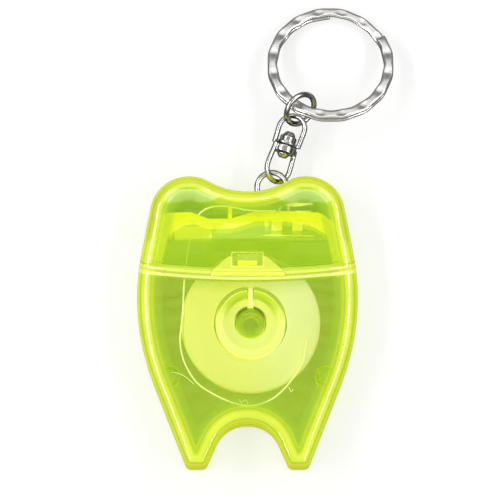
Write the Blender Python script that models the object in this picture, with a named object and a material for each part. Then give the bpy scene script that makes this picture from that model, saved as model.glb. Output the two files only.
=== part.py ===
"""Dental floss keychain: a tooth-shaped flip-top case with a floss spool, on a swivel and a split ring.

The case lies on its flat back. The origin is on that back face, on the spool's axis.
+Z points out of the front, +Y towards the lid and the chain.
"""
import math

import bmesh
import bpy
from mathutils import Matrix, Vector

MM = 0.001

# Clearances and meshing
GAP = 0.3 * MM
FINE_GAP = 0.2 * MM
OVERRUN = 4.0 * MM
CHORD_ERROR = 0.03 * MM
TINY = 0.001 * MM
SMALLEST_FILLET = 0.25 * MM
ROUND_SIDES = 24
FINE_STEPS = 8
SHARP_ANGLE = math.radians(32)

# Case: outer sizes, walls and the outline's fillets
CASE_WIDTH = 43.5 * MM
CASE_TOP = 29.05 * MM
CASE_FOOT = 29.1 * MM
CASE_DEPTH = 13.0 * MM
FACE_RADIUS = 81.0 * MM
CROWN_START = 20.0 * MM
CROWN_DROP = 1.8 * MM
FRONT_ROUND = 1.5 * MM
REAR_ROUND = 1.0 * MM
ROUND_STEPS = 3
FACE_WALL = 1.3 * MM
BODY_WALL = 1.8 * MM
LID_WALL = 1.5 * MM
VALLEY_THINNING = 0.3 * MM
CAVITY_ROUND = 0.3 * MM
SEAM_share = 0.5
SEAM_HEIGHT = CASE_DEPTH * SEAM_share
VALLEY_RADIUS = 14.8 * MM
CROWN_RADIUS = 7.65 * MM
WAIST_RADIUS = 46.0 * MM
FOOT_RADIUS = 1.2 * MM
ARCH_RADIUS = 6.6 * MM
VALLEY_share = (0.0, 0.7952)
CROWN_share = (0.7908, 1.1611)
WAIST_share = (1.0897, 0.01)
FOOT_OUTER_share = (0.5572, 1.0)
FOOT_INNER_share = (0.3816, 1.0)
ARCH_share = (0.2037, 0.701)
FACE_LINE_shares = (-0.75, -0.56, -0.37, -0.18, 0.0, 0.18, 0.37, 0.56, 0.75)
CROWN_LINE_shares = (0.3, 0.55, 0.69, 0.8, 0.9)

# Lid hinge and parting plane
HINGE_Y = 15.6 * MM
HINGE_Z = 0.9 * MM
PARTING_SLOPE = math.radians(30)
PIN_RADIUS = 0.4 * MM
BARREL_RADIUS = 0.85 * MM
BARREL_START = 1.5 * MM
BARREL_END = 6.5 * MM
EAR_LENGTH = 1.6 * MM
KNUCKLE_START = math.radians(45)
KNUCKLE_SWEEP = math.radians(225)
GROOVE_RADIUS = 1.6 * MM

# Latch: a window in the lid over a ramp on the neck
WINDOW_WIDTH = 6.0 * MM
WINDOW_HEIGHT = 2.7 * MM
WINDOW_LOW = 10.6 * MM
CATCH_WIDTH = 4.2 * MM
CATCH_LENGTH = 2.1 * MM
CATCH_RISE = 0.75 * MM

# Thumb tab: a wedge round the window, highest at the parting
TAB_RISE = 0.7 * MM
TAB_SIDES = ((7.9 * MM, 7.0 * MM), (7.6 * MM, 9.4 * MM), (4.2 * MM, 12.2 * MM), (3.4 * MM, 12.6 * MM))

# Neck insert
NECK_WALL = 1.0 * MM
NECK_SKIRT = 1.7 * MM
NECK_BUMP_X = 13.5 * MM
NECK_BUMP_Y = 22.0 * MM
NECK_DIP_X = 5.5 * MM
NECK_DIP_Y = 20.4 * MM
NECK_PLATEAU_X = 1.5 * MM
NECK_SHOULDER_X = 14.6 * MM
NECK_SHOULDER_Y = 18.2 * MM
NECK_SIDE_Y = 17.0 * MM
NECK_FILLET = 2.2 * MM
HOLE_X = 10.3 * MM
HOLE_share = 0.477
HOLE_Z = CASE_DEPTH * HOLE_share
HOLE_RADIUS = 0.8 * MM

# Ribs inside the neck: (left, low, right, high), and how high they stand. The stop is read from the case's side
SEAT_RIBS = (
    (3.0 * MM, 17.4 * MM, 13.4 * MM, 17.9 * MM),
    (3.4 * MM, 19.4 * MM, 4.2 * MM, 21.5 * MM),
    (4.8 * MM, 18.6 * MM, 6.9 * MM, 21.5 * MM),
    (8.9 * MM, 18.6 * MM, 11.0 * MM, 21.5 * MM),
    (12.4 * MM, 19.4 * MM, 13.2 * MM, 21.5 * MM),
)
SEAT_RISE = 0.8 * MM
GUIDE_BLOCK = (-14.5 * MM, 16.5 * MM, -7.0 * MM, 19.5 * MM)
GUIDE_RISE = 1.7 * MM
STOP_RIB = (3.4 * MM, 13.4 * MM, 5.1 * MM, 14.2 * MM)
POST_LEFT = -3.9 * MM
POST_WIDTH = 0.8 * MM
POST_TOP = 23.7 * MM
POST_DEPTH = 1.5 * MM
POST_RAIL_LEFT = -9.5 * MM
POST_RAIL_WIDTH = 0.5 * MM

# Cutter
CUTTER_SHEET = 0.4 * MM
CUTTER_LEFT = 6.1 * MM
CUTTER_WIDTH = 6.6 * MM
CUTTER_RISE = 2.0 * MM
CUTTER_DEPTH = 1.3 * MM
CUTTER_LEG = 1.9 * MM
CUTTER_SLIT = 0.35 * MM
CUTTER_HOOK = 0.9 * MM

# Spool and floss
SPOOL_X = 0.6 * MM
SPOOL_Y = -0.3 * MM
HUB_RADIUS = 7.0 * MM
HUB_STEP_RADIUS = 5.2 * MM
HUB_STEP_DROP = 1.2 * MM
HUB_FRONT_share = 0.723
HUB_FRONT = CASE_DEPTH * HUB_FRONT_share
HUB_BORE = 3.2 * MM
HUB_SLOT_WIDTH = 1.2 * MM
HUB_RIM = 0.8 * MM
BOSS_share = 0.477
BOSS_RISE = CASE_DEPTH * BOSS_share
BOSS_BORE = 1.5 * MM
ROLL_RADIUS = 13.9 * MM
ROLL_REAR_share = 0.315
ROLL_FRONT_share = 0.6615
ROLL_REAR = CASE_DEPTH * ROLL_REAR_share
ROLL_FRONT = CASE_DEPTH * ROLL_FRONT_share
ROLL_ROUND = 0.6 * MM
ROLL_SIDES = 64
LEAD_RADIUS = 0.17 * MM
LEAD_POINTS = 64
LEAD_SIDES = 1
# The free floss, from the roll's face round the case and through the neck's hole to the cutter
LEAD_ROUTE = (
    (11.7 * MM, -4.2 * MM),
    (10.5 * MM, -9.2 * MM),
    (5.4 * MM, -15.2 * MM),
    (-0.9 * MM, -16.8 * MM),
    (-8.7 * MM, -13.4 * MM),
    (-12.1 * MM, -9.2 * MM),
    (-13.4 * MM, -4.4 * MM),
    (-12.9 * MM, 1.5 * MM),
    (-12.5 * MM, 9.2 * MM),
    (-11.4 * MM, 17.3 * MM),
    (-10.2 * MM, 21.2 * MM),
    (-7.7 * MM, 23.2 * MM),
    (-4.1 * MM, 23.5 * MM),
    (0.0 * MM, 22.8 * MM),
    (4.0 * MM, 22.75 * MM),
    (5.7 * MM, 22.85 * MM),
)
LEAD_HEIGHT_shares = (0.7, 0.7, 0.692, 0.677, 0.685, 0.7, 0.708, 0.692,
                      0.63, 0.515, 0.477, 0.454, 0.415, 0.37, 0.323, 0.3)

# Pegs and sockets that hold the two shells together
PEG_X = 15.5 * MM
PEG_Y = -10.9 * MM
PEG_RADIUS = 1.0 * MM
PEG_REACH = 2.4 * MM
SOCKET_RADIUS = 2.0 * MM

# Bar in the lid's valley for the chain
BAR_X = 5.05 * MM
BAR_WIDTH = 1.9 * MM
SLOT_WIDTH = 2.6 * MM
SLOT_HEIGHT = 5.2 * MM
CHAIN_Z = 7.15 * MM

# Chain
LOWER_RING_RADIUS = 2.95 * MM
RING_WIRE = 1.2 * MM
LOWER_RING_ROLL = math.radians(5)
LOWER_RING_SHIFT = -0.2 * MM
LOWER_RING_SEAT = 0.42 * MM
SWIVEL_WIRE = 1.1 * MM
SWIVEL_LENGTH = 15.0 * MM
SWIVEL_TURN = math.radians(18.7)
SWIVEL_SLOPE = math.radians(2)
SWIVEL_HOOKED = 1.6 * MM
LOWER_LOOP_RADIUS = 2.95 * MM
LOWER_LOOP_NECK = 2.65 * MM
LOWER_LOOP_ROLL = math.radians(-40)
COLLAR_START = 6.6 * MM
COLLAR_LENGTH = 1.3 * MM
COLLAR_RADIUS = 2.35 * MM
UPPER_LOOP_RADIUS = 2.68 * MM
UPPER_LOOP_NECK = 2.55 * MM
UPPER_LOOP_ROLL = math.radians(15)
BASE_LENGTH = 0.5 * MM
BASE_RADIUS = 2.4 * MM
BASE_BOSS_LENGTH = 1.3 * MM
BASE_BOSS_RADIUS = 1.7 * MM
RIVET_RADIUS = 0.6 * MM
RIVET_HEAD = 1.35 * MM
RIVET_HEAD_RISE = 0.8 * MM
RIVET_HEAD_TIP_share = 0.6
UPPER_RING_RADIUS = 3.3 * MM
UPPER_RING_ROLL = math.radians(-50)
UPPER_RING_SLOPE = math.radians(14)
UPPER_RING_TURN = math.radians(34)
UPPER_RING_AHEAD = 1.5 * MM
UPPER_RING_LIFT = 1.2 * MM
SPLIT_OUTER = 12.85 * MM
SPLIT_INNER = 10.55 * MM
SPLIT_COIL = 0.9 * MM
SPLIT_PITCH = 1.1 * MM
SPLIT_TILT = math.radians(19)
SPLIT_X = 16.7 * MM
SPLIT_Y = 52.3 * MM
SPLIT_STEPS = 168
SPLIT_RAMP = math.radians(30)
SPLIT_RAMP_AT = math.radians(60)
SPLIT_DENTS = 16
SPLIT_DENT_share = 0.14
SPLIT_FLAT_share = 0.75
SPLIT_HUNG_AT = math.radians(239)
RING_STEPS = 48
WIRE_RESOLUTION = 2


# Materials
def make_material(name, colour, roughness, metallic, transmission):
    material = bpy.data.materials.new(name)
    material.use_nodes = True
    shader = material.node_tree.nodes["Principled BSDF"]
    shader.inputs["Base Color"].default_value = (*colour, 1.0)
    shader.inputs["Roughness"].default_value = roughness
    shader.inputs["Metallic"].default_value = metallic
    shader.inputs["Transmission Weight"].default_value = transmission
    material.diffuse_color = (*colour, 1.0)
    return material


# Objects and mesh helpers
def add_object(name, mesh, material):
    part = bpy.data.objects.new(name, mesh)
    bpy.context.scene.collection.objects.link(part)
    if material:
        mesh.materials.append(material)
    return part


def finish_mesh(bm, name):
    """Turn a bmesh into smooth-shaded mesh data whose faces point out."""
    bmesh.ops.recalc_face_normals(bm, faces=bm.faces)
    mesh = bpy.data.meshes.new(name)
    bm.to_mesh(mesh)
    bm.free()
    mesh.shade_smooth()
    mesh.set_sharp_from_angle(angle=SHARP_ANGLE)
    return mesh


def add_tool(name, mesh):
    """A cutter or a piece to be joined: it shapes other objects and isn't one itself."""
    tool = add_object(name, mesh, None)
    tool.hide_render = True
    tool.display_type = "WIRE"
    return tool


def combine(target, tool, operation):
    step = target.modifiers.new(tool.name, "BOOLEAN")
    step.object = tool
    step.operation = operation
    step.solver = "EXACT"


def cut(target, *tools):
    for tool in tools:
        combine(target, tool, "DIFFERENCE")


def join(target, *tools):
    for tool in tools:
        combine(target, tool, "UNION")


def block_mesh(name, low, high):
    bm = bmesh.new()
    size = [b - a for a, b in zip(low, high)]
    middle = [(a + b) / 2 for a, b in zip(low, high)]
    place = Matrix.Translation(middle) @ Matrix.Diagonal((*size, 1))
    bmesh.ops.create_cube(bm, size=1, matrix=place)
    return finish_mesh(bm, name)


def rod_mesh(name, start, end, radius, end_radius=None, sides=ROUND_SIDES):
    """A round rod or cone between two points."""
    bm = bmesh.new()
    start = Vector(start)
    end = Vector(end)
    axis = end - start
    place = Matrix.Translation((start + end) / 2) @ axis.to_track_quat("Z", "X").to_matrix().to_4x4()
    tip = radius if end_radius is None else end_radius
    bmesh.ops.create_cone(bm, cap_ends=True, segments=sides, radius1=radius, radius2=tip,
                          depth=axis.length, matrix=place)
    return finish_mesh(bm, name)


def prism_mesh(name, points, low, high):
    """An upright prism over a closed outline of (x, y) points."""
    bm = bmesh.new()
    face = bm.faces.new([bm.verts.new((x, y, low)) for x, y in points])
    grown = bmesh.ops.extrude_face_region(bm, geom=[face])
    risen = [item for item in grown["geom"] if isinstance(item, bmesh.types.BMVert)]
    bmesh.ops.translate(bm, verts=risen, vec=(0, 0, high - low))
    bmesh.ops.triangulate(bm, faces=bm.faces)
    return finish_mesh(bm, name)


def side_prism_mesh(name, profile, left, right):
    """A prism along X over a closed profile of (y, z) points."""
    bm = bmesh.new()
    face = bm.faces.new([bm.verts.new((left, y, z)) for y, z in profile])
    grown = bmesh.ops.extrude_face_region(bm, geom=[face])
    moved = [item for item in grown["geom"] if isinstance(item, bmesh.types.BMVert)]
    bmesh.ops.translate(bm, verts=moved, vec=(right - left, 0, 0))
    return finish_mesh(bm, name)


def turned_mesh(name, profile, centre, sides):
    """Turn a closed profile of (radius, z) points about the upright axis through centre."""
    bm = bmesh.new()
    points = [bm.verts.new((centre[0] + radius, centre[1], z)) for radius, z in profile]
    edges = [bm.edges.new((a, b)) for a, b in zip(points, points[1:] + points[:1])]
    bmesh.ops.spin(bm, geom=points + edges, cent=(centre[0], centre[1], 0), axis=(0, 0, 1),
                   angle=2 * math.pi, steps=sides, use_merge=True)
    bmesh.ops.remove_doubles(bm, verts=bm.verts, dist=TINY)
    return finish_mesh(bm, name)


def wire_mesh(name, points, radius, closed=False, resolution=WIRE_RESOLUTION):
    """A round wire along a row of points."""
    curve = bpy.data.curves.new(name, "CURVE")
    curve.dimensions = "3D"
    spline = curve.splines.new("POLY")
    spline.points.add(len(points) - 1)
    for point, place in zip(spline.points, points):
        point.co = (*place, 1)
    spline.use_cyclic_u = closed
    curve.bevel_depth = radius
    curve.bevel_resolution = resolution
    curve.use_fill_caps = True
    holder = bpy.data.objects.new(name, curve)
    bpy.context.scene.collection.objects.link(holder)
    bpy.context.view_layer.update()
    graph = bpy.context.evaluated_depsgraph_get()
    mesh = bpy.data.meshes.new_from_object(holder.evaluated_get(graph))
    bpy.data.objects.remove(holder)
    bm = bmesh.new()
    bm.from_mesh(mesh)
    bmesh.ops.remove_doubles(bm, verts=bm.verts, dist=TINY)
    return finish_mesh(bm, name)


# The case's outline: sharp corners with a fillet each, walked counter-clockwise
def case_corners(valley_lift=0.0):
    half = CASE_WIDTH / 2
    right = [
        (half * ARCH_share[0], -CASE_FOOT * ARCH_share[1], ARCH_RADIUS),
        (half * FOOT_INNER_share[0], -CASE_FOOT * FOOT_INNER_share[1], FOOT_RADIUS),
        (half * FOOT_OUTER_share[0], -CASE_FOOT * FOOT_OUTER_share[1], FOOT_RADIUS),
        (half * WAIST_share[0], CASE_TOP * WAIST_share[1], WAIST_RADIUS),
        (half * CROWN_share[0], CASE_TOP * CROWN_share[1], CROWN_RADIUS),
    ]
    valley = (0.0, CASE_TOP * VALLEY_share[1] + valley_lift, VALLEY_RADIUS)
    left = [(-x, y, radius) for x, y, radius in reversed(right)]
    return right + [valley] + left


def upper_corners():
    """The outline without its feet, for what lies in the top of the case."""
    corners = case_corners()
    foot = Vector(corners[2][:2])
    waist = Vector(corners[3][:2])
    low = foot.lerp(waist, 0.5)
    right = [(low.x, low.y, SMALLEST_FILLET)]
    left = [(-low.x, low.y, SMALLEST_FILLET)]
    return right + corners[3:8] + left


def rounded(corners, inset=0.0):
    """Points of the outline after its sides move inwards, with every corner filleted."""
    count = len(corners)
    sharp = []
    sides = []
    for i in range(count):
        here = Vector(corners[i][:2])
        into = (here - Vector(corners[i - 1][:2])).normalized()
        out = (Vector(corners[(i + 1) % count][:2]) - here).normalized()
        inward = Vector((-into.y - out.y, into.x + out.x))
        sharp.append(here + inward * (inset / (1 + into.dot(out))))
        sides.append((into, out))
    turns = [into.angle_signed(out) * -1 for into, out in sides]
    radii = []
    for (x, y, radius), turn in zip(corners, turns):
        radii.append(max(radius - inset if turn > 0 else radius + inset, SMALLEST_FILLET))
    reach = [radius * math.tan(abs(turn) / 2) for radius, turn in zip(radii, turns)]
    lengths = [(sharp[(i + 1) % count] - sharp[i]).length for i in range(count)]
    fits = [min(1, lengths[i] / (reach[i] + reach[(i + 1) % count])) for i in range(count)]
    points = []
    for i in range(count):
        into, out = sides[i]
        share = min(fits[i], fits[i - 1])
        start = sharp[i] - into * (reach[i] * share)
        side = math.copysign(1, turns[i])
        centre = start + Vector((-into.y, into.x)) * (side * radii[i] * share)
        step = 2 * math.acos(1 - CHORD_ERROR / max(corners[i][2], 2 * CHORD_ERROR))
        steps = max(3, math.ceil(abs(turns[i]) / step))
        for k in range(steps + 1):
            turned = (start - centre).copy()
            turned.rotate(Matrix.Rotation(turns[i] * k / steps, 2))
            points.append((centre.x + turned.x, centre.y + turned.y))
    return points


def outline_top(points, x):
    """The outline's highest point on an upright line."""
    heights = []
    for (x0, y0), (x1, y1) in zip(points, points[1:] + points[:1]):
        if min(x0, x1) <= x <= max(x0, x1) and x0 != x1:
            heights.append(y0 + (y1 - y0) * (x - x0) / (x1 - x0))
    return max(heights)


# Crowned faces
def face_height(x, y):
    """Height of the case's front: bowed from side to side and drawn down at the crown."""
    sag = x * x / (2 * FACE_RADIUS)
    past = max(0, y - CROWN_START) / (CASE_TOP - CROWN_START)
    return CASE_DEPTH - sag - CROWN_DROP * past * past


def cavity_height(x, y):
    return face_height(x, y) - FACE_WALL


def neck_height(x, y, wall=0.0):
    """The neck stays inside the circle that the lid's front sweeps about its hinge."""
    reach = cavity_height(x, HINGE_Y) - HINGE_Z - GAP - wall
    past = max(0, y - HINGE_Y)
    lowest = GROOVE_RADIUS + GAP + NECK_WALL * 3 - wall
    return HINGE_Z + math.sqrt(max(reach * reach - past * past, lowest * lowest))


def neck_cavity_height(x, y):
    return neck_height(x, y, NECK_WALL)


def edge_rings(rear, front, rear_round, front_round, inset=0.0):
    """Rows of (inset, height) up a side wall with a quarter round at each end."""
    rings = []
    for k in range(ROUND_STEPS + 1):
        angle = math.pi / 2 * k / ROUND_STEPS
        rings.append((inset + rear_round * (1 - math.sin(angle)), rear + rear_round * (1 - math.cos(angle))))
    for k in range(ROUND_STEPS + 1):
        angle = math.pi / 2 * k / ROUND_STEPS
        rings.append((inset + front_round * (1 - math.cos(angle)), front - front_round * (1 - math.sin(angle))))
    return rings


def domed_mesh(name, corners, rings, front_height):
    """Loft the outline up through its rings, then bend everything to the crowned front."""
    bm = bmesh.new()
    loops = []
    for inset, height in rings:
        loops.append([bm.verts.new((x, y, height)) for x, y in rounded(corners, inset)])
    for low, high in zip(loops, loops[1:]):
        for i in range(len(low)):
            j = (i + 1) % len(low)
            bm.faces.new((low[i], low[j], high[j], high[i]))
    bm.faces.new(list(reversed(loops[0])))
    bm.faces.new(loops[-1])
    rear = rings[0][1]
    front = rings[-1][1]
    lines = [((CASE_WIDTH / 2 * share, 0, 0), (1, 0, 0)) for share in FACE_LINE_shares]
    lines += [((0, CASE_TOP * share, 0), (0, 1, 0)) for share in CROWN_LINE_shares]
    for place, normal in lines:
        cap = [face for face in bm.faces if all(abs(v.co.z - front) < TINY for v in face.verts)]
        around = {edge for face in cap for edge in face.edges}
        corners_of = {vert for face in cap for vert in face.verts}
        bmesh.ops.bisect_plane(bm, geom=cap + list(around) + list(corners_of), dist=TINY,
                               plane_co=place, plane_no=normal)
    for vert in bm.verts:
        rise = (vert.co.z - rear) / (front - rear)
        vert.co.z = rear + rise * (front_height(vert.co.x, vert.co.y) - rear)
    bmesh.ops.triangulate(bm, faces=bm.faces)
    return finish_mesh(bm, name)


def half_space_mesh(name, shift, above):
    """A large block on one side of the sloped parting plane, moved off it by shift."""
    size = CASE_TOP + CASE_FOOT + CASE_WIDTH
    along = Vector((0, -math.sin(PARTING_SLOPE), math.cos(PARTING_SLOPE)))
    normal = Vector((0, math.cos(PARTING_SLOPE), math.sin(PARTING_SLOPE)))
    base = Vector((0, HINGE_Y, HINGE_Z)) + normal * shift
    side = 1 if above else -1
    bm = bmesh.new()
    corners = []
    for x in (-size, size):
        for reach in (-size, size):
            for depth in (0, side * size):
                corners.append(bm.verts.new(Vector((x, 0, 0)) + base + along * reach + normal * depth))
    bmesh.ops.convex_hull(bm, input=corners)
    return finish_mesh(bm, name)


# Case shells
def build_shells(plastic):
    corners = case_corners()
    outer = edge_rings(0, CASE_DEPTH, REAR_ROUND, FRONT_ROUND)
    inner = edge_rings(FACE_WALL, CASE_DEPTH - FACE_WALL, CAVITY_ROUND, CAVITY_ROUND, BODY_WALL)
    cavity = add_tool("case_cavity", domed_mesh("case_cavity", corners, inner, cavity_height))
    above = add_tool("above_parting", half_space_mesh("above_parting", -GAP / 2, True))
    groove = add_tool("hinge_groove", rod_mesh("hinge_groove", (-CASE_WIDTH, HINGE_Y, HINGE_Z),
                                               (CASE_WIDTH, HINGE_Y, HINGE_Z), GROOVE_RADIUS))
    far = CASE_TOP + CASE_FOOT
    front_half = add_tool("front_half", block_mesh(
        "front_half", (-far, -far, SEAM_HEIGHT - GAP / 2), (far, far, CASE_DEPTH + OVERRUN)))
    rear_half = add_tool("rear_half", block_mesh(
        "rear_half", (-far, -far, -OVERRUN), (far, far, SEAM_HEIGHT + GAP / 2)))

    rear_shell = add_object("rear_shell", domed_mesh("rear_shell", corners, outer, face_height), plastic)
    cut(rear_shell, cavity, above, groove, front_half)
    join(rear_shell, *rear_details())

    front_shell = add_object("front_shell", domed_mesh("front_shell", corners, outer, face_height), plastic)
    cut(front_shell, cavity, above, rear_half)
    sockets, bores = socket_tools()
    join(front_shell, *sockets)
    cut(front_shell, *bores)
    return groove


def rear_details():
    """The spool's boss, the two pegs, and the hinge's ears with their pin."""
    floor = FACE_WALL / 2
    boss_profile = [
        (BOSS_BORE, floor),
        (HUB_BORE - GAP, floor),
        (HUB_BORE - GAP, FACE_WALL + BOSS_RISE - HUB_RIM / 2),
        (HUB_BORE - GAP - HUB_RIM / 2, FACE_WALL + BOSS_RISE),
        (BOSS_BORE, FACE_WALL + BOSS_RISE),
    ]
    tools = [add_tool("spool_boss", turned_mesh("spool_boss", boss_profile, (SPOOL_X, SPOOL_Y), ROUND_SIDES))]
    for side in (-1, 1):
        peg = rod_mesh("peg", (side * PEG_X, PEG_Y, floor), (side * PEG_X, PEG_Y, SEAM_HEIGHT), PEG_RADIUS * 2)
        tip = rod_mesh("peg_tip", (side * PEG_X, PEG_Y, floor),
                       (side * PEG_X, PEG_Y, SEAM_HEIGHT + PEG_REACH), PEG_RADIUS)
        tools += [add_tool("peg", peg), add_tool("peg_tip", tip)]
    reach = BARREL_END + FINE_GAP + EAR_LENGTH
    half_pin = reach - EAR_LENGTH / 2
    pin = rod_mesh("hinge_pin", (-half_pin, HINGE_Y, HINGE_Z), (half_pin, HINGE_Y, HINGE_Z), PIN_RADIUS)
    spans = [(-reach, -BARREL_END - FINE_GAP), (-BARREL_START + FINE_GAP, BARREL_START - FINE_GAP),
             (BARREL_END + FINE_GAP, reach)]
    for left, right in spans:
        tools.append(add_tool("ear", side_prism_mesh("ear", knuckle_profile(-1), left, right)))
    tools.append(add_tool("hinge_pin", pin))
    return tools


def knuckle_profile(side):
    """Side view of a hinge knuckle: a flat arm that ends in a barrel about the hinge axis."""
    root = HINGE_Y + side * (GROOVE_RADIUS + EAR_LENGTH)
    arm_top = HINGE_Z + BARREL_RADIUS * math.sin(KNUCKLE_START)
    profile = [(root, HINGE_Z - BARREL_RADIUS), (root, arm_top)]
    steps = ROUND_SIDES // 2
    for k in range(steps + 1):
        angle = KNUCKLE_START + KNUCKLE_SWEEP * k / steps
        profile.append((HINGE_Y + side * BARREL_RADIUS * math.cos(angle), HINGE_Z + BARREL_RADIUS * math.sin(angle)))
    return profile


def socket_tools():
    sockets = []
    bores = []
    low = SEAM_HEIGHT + GAP
    for side in (-1, 1):
        x = side * PEG_X
        top = cavity_height(x, PEG_Y) + FACE_WALL / 2
        post = rod_mesh("socket", (x, PEG_Y, low), (x, PEG_Y, top), SOCKET_RADIUS)
        bore = rod_mesh("socket_bore", (x, PEG_Y, low - OVERRUN),
                        (x, PEG_Y, SEAM_HEIGHT + PEG_REACH + GAP), PEG_RADIUS + GAP)
        sockets.append(add_tool("socket", post))
        bores.append(add_tool("socket_bore", bore))
    return sockets, bores


# Lid
def build_lid(plastic, groove):
    corners = case_corners()
    outer = edge_rings(0, CASE_DEPTH, REAR_ROUND, FRONT_ROUND)
    inner = edge_rings(FACE_WALL, CASE_DEPTH - FACE_WALL, CAVITY_ROUND, CAVITY_ROUND, LID_WALL)
    hollow = case_corners(VALLEY_THINNING)
    cavity = add_tool("lid_cavity", domed_mesh("lid_cavity", hollow, inner, cavity_height))
    below = add_tool("below_parting", half_space_mesh("below_parting", GAP / 2, False))
    window = add_tool("latch_window", block_mesh(
        "latch_window", (-WINDOW_WIDTH / 2, WINDOW_LOW, CASE_DEPTH - FACE_WALL - OVERRUN),
        (WINDOW_WIDTH / 2, WINDOW_LOW + WINDOW_HEIGHT, CASE_DEPTH + OVERRUN)))
    lid = add_object("lid", domed_mesh("lid", corners, outer, face_height), plastic)
    join(lid, add_tool("thumb_tab", tab_mesh()))
    cut(lid, cavity, below, groove, window)
    top = outline_top(rounded(corners), BAR_X)
    for side in (-1, 1):
        x = BAR_X + side * (BAR_WIDTH + SLOT_WIDTH) / 2
        slot = block_mesh("ring_slot", (x - SLOT_WIDTH / 2, top - OVERRUN, CHAIN_Z - SLOT_HEIGHT / 2),
                          (x + SLOT_WIDTH / 2, top + OVERRUN, CHAIN_Z + SLOT_HEIGHT / 2))
        cut(lid, add_tool("ring_slot", slot))
    for side in (-1, 1):
        ends = sorted((side * BARREL_START, side * BARREL_END))
        join(lid, add_tool("clip", side_prism_mesh("clip", knuckle_profile(1), *ends)))
    reach = BARREL_END + EAR_LENGTH
    bore = rod_mesh("clip_bore", (-reach, HINGE_Y, HINGE_Z), (reach, HINGE_Y, HINGE_Z), PIN_RADIUS + FINE_GAP)
    cut(lid, add_tool("clip_bore", bore))
    set_origin(lid, (0, HINGE_Y, HINGE_Z))
    return lid


def tab_mesh():
    """A wedge on the lid's front that rises towards the parting."""
    bm = bmesh.new()
    low = TAB_SIDES[0][1]
    high = TAB_SIDES[-1][1]
    for side in (-1, 1):
        for x, y in TAB_SIDES:
            rise = TAB_RISE * (high - y) / (high - low)
            bm.verts.new((side * x, y, CASE_DEPTH - FACE_WALL / 2))
            bm.verts.new((side * (x - rise), y, face_height(x, y) + rise + GAP / 2))
    bmesh.ops.convex_hull(bm, input=bm.verts)
    return finish_mesh(bm, "thumb_tab")


def set_origin(part, place):
    """Put an object's origin on its joint without moving its shape."""
    part.data.transform(Matrix.Translation(-Vector(place)))
    part.location = place


# Neck insert with the cutter's seat and the latch ramp
def above_neck_mesh(name, drop=0.0):
    """Everything above the neck's stepped top line, or above that line moved down."""
    far = CASE_TOP * 2
    wide = CASE_WIDTH
    corners = [
        (wide, far, SMALLEST_FILLET),
        (-wide, far, SMALLEST_FILLET),
        (-wide, NECK_SIDE_Y - drop, SMALLEST_FILLET),
        (-NECK_BUMP_X - NECK_FILLET, NECK_BUMP_Y - drop, NECK_FILLET),
        (-NECK_BUMP_X + NECK_FILLET, NECK_BUMP_Y - drop, NECK_FILLET),
        (-NECK_DIP_X - NECK_FILLET, NECK_DIP_Y - drop, NECK_FILLET),
        (-NECK_DIP_X + NECK_FILLET, NECK_DIP_Y - drop, NECK_FILLET),
        (NECK_PLATEAU_X, NECK_BUMP_Y - drop, NECK_FILLET),
        (NECK_SHOULDER_X, NECK_BUMP_Y - drop, NECK_FILLET),
        (NECK_SHOULDER_X + NECK_FILLET * 2, NECK_SHOULDER_Y - drop, NECK_FILLET),
        (wide, NECK_SIDE_Y - drop, SMALLEST_FILLET),
    ]
    return prism_mesh(name, rounded(corners), -OVERRUN, CASE_DEPTH + OVERRUN)


def build_neck(plastic):
    corners = upper_corners()
    rear = HINGE_Z + GROOVE_RADIUS + GAP
    inset = BODY_WALL + GAP
    front = CASE_DEPTH - FACE_WALL - GAP
    outer = edge_rings(rear, front, CAVITY_ROUND, CAVITY_ROUND, inset)
    inner = edge_rings(rear + NECK_WALL, front - NECK_WALL, CAVITY_ROUND / 2, CAVITY_ROUND / 2, inset + NECK_WALL)
    neck = add_object("neck_insert", domed_mesh("neck_insert", corners, outer, neck_height), plastic)
    hollow = add_tool("neck_hollow", domed_mesh("neck_hollow", corners, inner, neck_cavity_height))
    cut(hollow, add_tool("above_roof", above_neck_mesh("above_roof", NECK_WALL)))
    above = add_tool("above_neck", above_neck_mesh("above_neck"))
    below = add_tool("below_skirt", half_space_mesh("below_skirt", -NECK_SKIRT, False))
    cut(neck, above, hollow, below)
    floor = rear + NECK_WALL
    side = -CASE_WIDTH / 2
    stop = (side + STOP_RIB[0], STOP_RIB[1], side + STOP_RIB[2], STOP_RIB[3])
    ribs = [(box, SEAT_RISE) for box in SEAT_RIBS] + [(GUIDE_BLOCK, GUIDE_RISE), (stop, SEAT_RISE)]
    for (left, near, right, far), rise in ribs:
        rib = block_mesh("neck_rib", (left, near, floor - NECK_WALL / 2), (right, far, floor + rise))
        join(neck, add_tool("neck_rib", rib))
    post_low = NECK_DIP_Y - NECK_WALL / 2
    post = block_mesh("post", (POST_LEFT, post_low, floor - NECK_WALL / 2),
                      (POST_LEFT + POST_WIDTH, POST_TOP, floor - NECK_WALL / 2 + POST_DEPTH))
    rail = block_mesh("post_rail", (POST_RAIL_LEFT, post_low, floor),
                      (POST_LEFT + POST_WIDTH / 2, NECK_DIP_Y + POST_RAIL_WIDTH, floor + POST_RAIL_WIDTH))
    join(neck, add_tool("post", post), add_tool("post_rail", rail))
    low = WINDOW_LOW + GAP
    face = neck_height(0, HINGE_Y)
    ramp = [(low, face - NECK_WALL / 2), (low, face), (low + CATCH_LENGTH, face + CATCH_RISE),
            (low + CATCH_LENGTH, face - NECK_WALL / 2)]
    join(neck, add_tool("latch_ramp", side_prism_mesh("latch_ramp", ramp, -CATCH_WIDTH / 2, CATCH_WIDTH / 2)))
    hole = rod_mesh("floss_hole", (-HOLE_X, NECK_BUMP_Y - OVERRUN, HOLE_Z),
                    (-HOLE_X, NECK_BUMP_Y + OVERRUN, HOLE_Z), HOLE_RADIUS)
    cut(neck, add_tool("floss_hole", hole))
    return neck


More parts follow.
